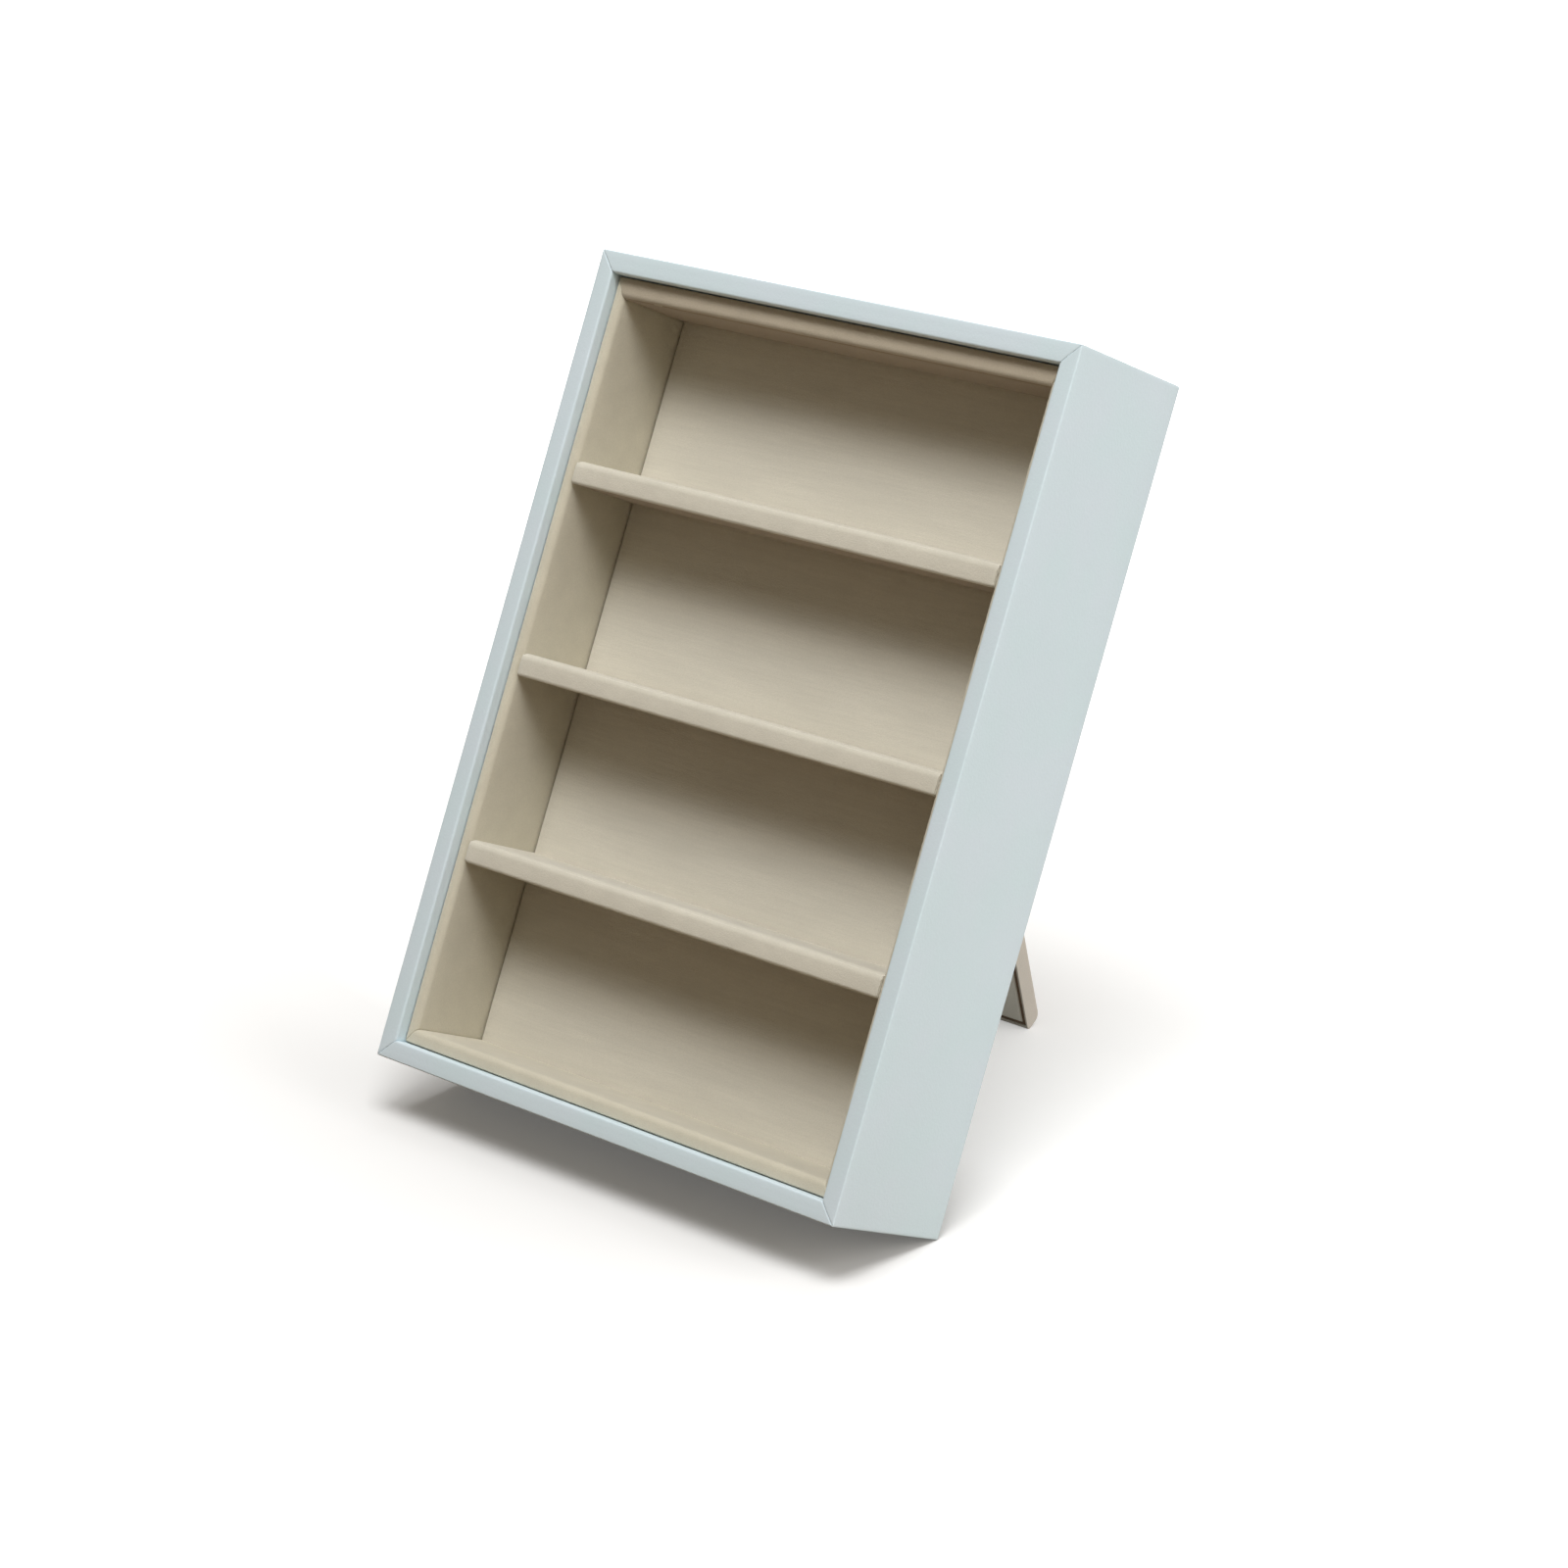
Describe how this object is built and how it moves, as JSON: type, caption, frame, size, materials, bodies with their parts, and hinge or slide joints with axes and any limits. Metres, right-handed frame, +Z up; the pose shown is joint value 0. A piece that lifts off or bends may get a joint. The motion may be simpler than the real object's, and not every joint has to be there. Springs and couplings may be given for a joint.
{
  "type": "sunglasses display tray",
  "caption": "Leaning display tray: a wrapped rectangular case with a lift-out padded insert of stacked compartments, held up by a fold-away easel leg.",
  "frame": {"origin": "on the table, under the middle of the whole object as it stands with its leg open", "axes": "+X to the viewer's right across the tray, -Y towards the viewer and the open front, +Z up from the table"},
  "size_m": [0.2012, 0.2096, 0.2778],
  "materials": {
    "leatherette": "pale blue leatherette, fine pebbled grain, satin",
    "back_leatherette": "pale blue leatherette, fine pebbled grain, matt",
    "suede": "warm beige microsuede with a short nap",
    "leg_suede": "warm beige microsuede, pressed flat",
    "case_board": "raw fibreboard",
    "insert_board": "grey pressed card",
    "divider_foam": "laminated card and foam core",
    "lining_paper": "matt embossed lining paper",
    "hinge_steel": "nickel-plated steel, satin"
  },
  "bodies": {
    "case": {"case_back_board": "case_board", "case_back_cover": "back_leatherette", "case_bottom_board": "case_board", "case_bottom_wrap": "leatherette", "case_floor_lining": "lining_paper", "case_left_board": "case_board", "case_left_wrap": "leatherette", "case_right_board": "case_board", "case_right_wrap": "leatherette", "case_top_board": "case_board", "case_top_wrap": "leatherette", "hinge_case_leaf": "hinge_steel", "hinge_case_rivets": "hinge_steel", "hinge_pin": "hinge_steel"},
    "insert": {"cell_1_back_pad": "suede", "cell_2_back_pad": "suede", "cell_3_back_pad": "suede", "cell_4_back_pad": "suede", "divider_1_core": "divider_foam", "divider_1_sleeve": "suede", "divider_2_core": "divider_foam", "divider_2_sleeve": "suede", "divider_3_core": "divider_foam", "divider_3_sleeve": "suede", "insert_bottom_board": "insert_board", "insert_bottom_sleeve": "suede", "insert_floor_board": "insert_board", "insert_left_board": "insert_board", "insert_left_sleeve": "suede", "insert_right_board": "insert_board", "insert_right_sleeve": "suede", "insert_top_board": "insert_board", "insert_top_sleeve": "suede"},
    "easel_leg": {"leg_board": "case_board", "leg_wrap": "leg_suede", "leg_lining": "leg_suede", "hinge_leg_leaf": "hinge_steel", "hinge_leg_rivets": "hinge_steel"}
  },
  "joints": [
    {"name": "leg_hinge", "type": "hinge", "parent": "case", "child": "easel_leg", "pos_m": [0, 0.037, 0.22004], "axis": [1, 0, 0], "range_deg": [-40, 0]},
    {"name": "insert_lift", "type": "slide", "parent": "case", "child": "insert", "axis": [0, -0.9107, 0.4131], "range_m": [0, 0.055]}
  ]
}
